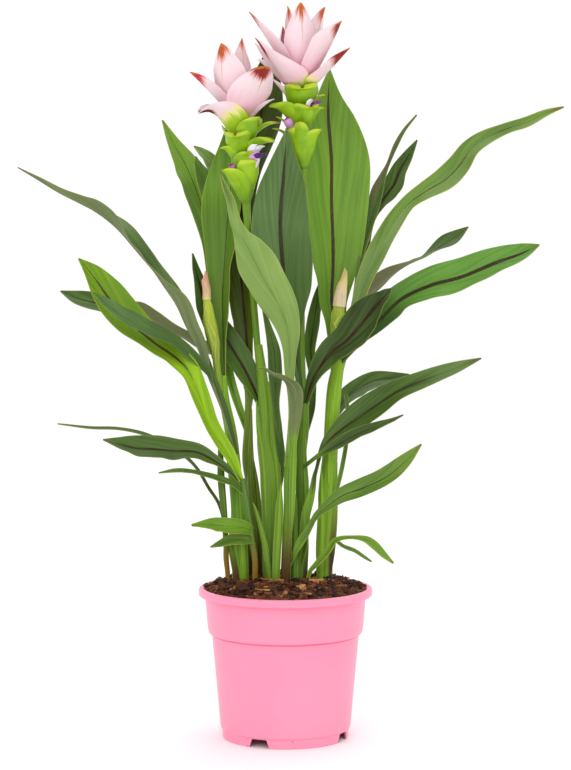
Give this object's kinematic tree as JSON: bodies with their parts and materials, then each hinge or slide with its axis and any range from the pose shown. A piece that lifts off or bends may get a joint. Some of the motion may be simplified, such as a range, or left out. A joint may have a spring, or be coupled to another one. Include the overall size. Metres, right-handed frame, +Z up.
{
  "type": "potted siam tulip",
  "caption": "Flowering siam tulip with pale pink bract spikes over long lance-shaped leaves, growing from soil in a pink nursery pot.",
  "frame": {"origin": "on the pot's axis, on the surface that the pot stands on; this is also the middle of the whole plant's footprint", "axes": "+Z up along the stems, +X to the viewer's right in the picture, +Y away from the viewer"},
  "size_m": [0.3765, 0.1692, 0.5051],
  "materials": {
    "pot": "satin pink moulded plastic with light scuffs",
    "soil": "loose dark brown peat and bark",
    "stem": "smooth light green leaf sheaths, brownish at the foot",
    "leaf": "satin green with fine parallel veins and a dark midrib",
    "dark_leaf": "satin dark green with a purple-brown midrib",
    "bright_leaf": "satin yellow-green young leaf",
    "green_bract": "waxy yellow-green with brownish rims",
    "pink_bract": "soft pale pink with red-brown tips",
    "floret": "soft violet and white"
  },
  "bodies": {
    "root": {"pot": "pot", "stem_thin_left": "stem", "stem_thick_left": "stem", "stem_slim_left": "stem", "stem_olive": "stem", "stem_thick_centre": "stem", "stem_brown_foot": "stem", "stem_right_of_centre": "stem", "stem_thick_right": "stem", "bloom_left_green_bracts": "green_bract", "bloom_left_pink_bracts": "pink_bract", "bloom_right_green_bracts": "green_bract", "bloom_right_pink_bracts": "pink_bract", "floret_left": "floret", "floret_left_small": "floret", "floret_right": "floret", "floret_right_low": "floret", "floret_right_top": "floret", "bud_left_green": "green_bract", "bud_left_pink": "pink_bract", "bud_right_green": "green_bract", "bud_right_pink": "pink_bract", "leaf_centre_front": "leaf", "leaf_centre_folded": "dark_leaf", "leaf_centre_dark": "dark_leaf", "leaf_centre_tall": "leaf", "leaf_behind_left_bloom": "leaf", "leaf_behind_scape": "dark_leaf", "leaf_left_long": "leaf", "leaf_left_bright": "bright_leaf", "leaf_left_dark": "dark_leaf", "leaf_left_back": "dark_leaf", "leaf_left_upright": "dark_leaf", "leaf_left_whip": "leaf", "leaf_left_low": "leaf", "leaf_left_sliver": "dark_leaf", "leaf_left_short": "leaf", "leaf_left_lowest": "dark_leaf", "leaf_upper_left": "leaf", "leaf_upper_left_back": "dark_leaf", "leaf_upper_left_tip": "dark_leaf", "leaf_centre_hidden": "dark_leaf", "leaf_right_hidden": "dark_leaf", "leaf_right_long": "leaf", "leaf_right_twisted": "dark_leaf", "leaf_right_behind": "dark_leaf", "leaf_right_spoon": "leaf", "leaf_right_broad": "leaf", "leaf_right_dark": "dark_leaf", "leaf_right_back": "leaf", "leaf_right_middle": "dark_leaf", "leaf_right_slim": "dark_leaf", "leaf_right_petiole": "leaf", "leaf_right_low": "leaf", "leaf_right_drooping": "leaf", "leaf_right_drooping_slim": "leaf", "soil": "soil"}
  },
  "joints": []
}
